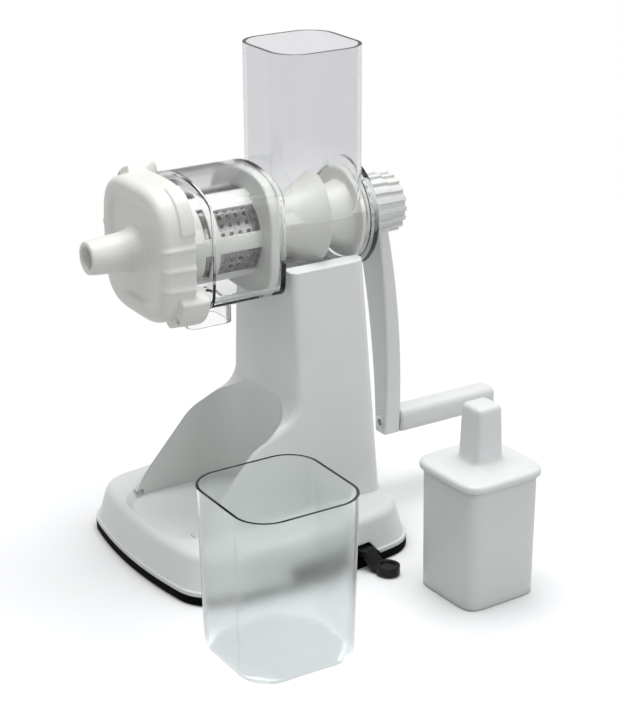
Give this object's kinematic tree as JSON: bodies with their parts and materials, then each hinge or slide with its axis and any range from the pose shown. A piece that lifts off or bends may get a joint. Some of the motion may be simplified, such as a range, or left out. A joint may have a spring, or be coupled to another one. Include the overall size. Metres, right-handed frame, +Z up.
{
  "type": "manual wheatgrass juicer",
  "caption": "Hand-cranked auger juicer for wheatgrass on a white suction stand, with a clear hopper and drum, perforated screen, end cap with nozzle, juice cup and pusher.",
  "frame": {"origin": "centre of the stand's foot on the table, under the stand and midway between its sides", "axes": "+Z up, the nozzle points to -Y, the crank and its grip are at +Y, the suction lever, the cup and the pusher are on the +X side"},
  "size_m": [0.2508, 0.2917, 0.31],
  "materials": {
    "white_gloss": "smooth moulded white with a soft gloss",
    "white_plastic": "moulded white, satin",
    "warm_white": "moulded warm white, satin",
    "grey_plastic": "moulded grey, matt",
    "black_plastic": "moulded black, satin",
    "black_rubber": "soft black rubber, matt",
    "clear_plastic": "clear moulded plastic with a light grey-lilac tint",
    "clear_cup": "clear moulded plastic with a light blue-grey tint",
    "screen_steel": "perforated stainless sheet",
    "steel": "plain bright steel",
    "brass": "plain brass"
  },
  "bodies": {
    "stand": {"pedestal": "white_gloss", "foot_plate": "grey_plastic", "suction_pad": "black_rubber", "foot_screws": "steel", "drum": "clear_plastic", "drum_screws": "steel", "bush": "white_plastic", "shaft_seal": "black_rubber", "screen_cage": "white_plastic", "screen": "screen_steel"},
    "crank": {"auger": "white_plastic", "drive_shaft": "steel", "crank_arm": "white_gloss", "thrust_washer": "steel", "grip_pin": "steel", "grip_washer": "steel"},
    "hand_grip": {"grip": "white_plastic"},
    "knob": {"lock_knob": "warm_white", "knob_insert": "brass"},
    "cap": {"end_cap": "warm_white", "cap_seal": "black_rubber"},
    "lever": {"suction_lever": "black_plastic"},
    "stud": {"suction_stud": "steel"},
    "juice_cup": {"cup": "clear_cup"},
    "pusher": {"pusher_body": "white_plastic", "pusher_top": "white_plastic"}
  },
  "joints": [
    {"name": "crank_turn", "type": "hinge", "parent": "stand", "child": "crank", "pos_m": [0, 0, 0.2025], "axis": [0, 1, 0], "continuous": true},
    {"name": "grip_spin", "type": "hinge", "parent": "crank", "child": "hand_grip", "pos_m": [0, 0.112, 0.054], "axis": [0, 1, 0], "continuous": true},
    {"name": "knob_turn", "type": "hinge", "parent": "crank", "child": "knob", "pos_m": [0, 0.0956, 0.2025], "axis": [0, 1, 0], "continuous": true},
    {"name": "cap_turn", "type": "hinge", "parent": "stand", "child": "cap", "pos_m": [0, -0.06, 0.2025], "axis": [0, 1, 0], "range_deg": [0, 24]},
    {"name": "lever_swing", "type": "hinge", "parent": "stand", "child": "lever", "pos_m": [0, 0, 0.009], "axis": [0, 0, 1], "range_deg": [-33, 0]},
    {"name": "suction_lift", "type": "slide", "parent": "stand", "child": "stud", "axis": [0, 0, 1], "range_m": [0, 0.003]},
    {"name": "cup_lift", "type": "slide", "parent": "stand", "child": "juice_cup", "axis": [0, 0, 1], "range_m": [0, 0.12]},
    {"name": "pusher_slide", "type": "slide", "parent": "stand", "child": "pusher", "axis": [1, 0, 0], "range_m": [0, 0.06]}
  ],
  "couplings": [
    {"joint": "suction_lift", "follows": "lever_swing", "m_per_rad": -0.0052}
  ]
}
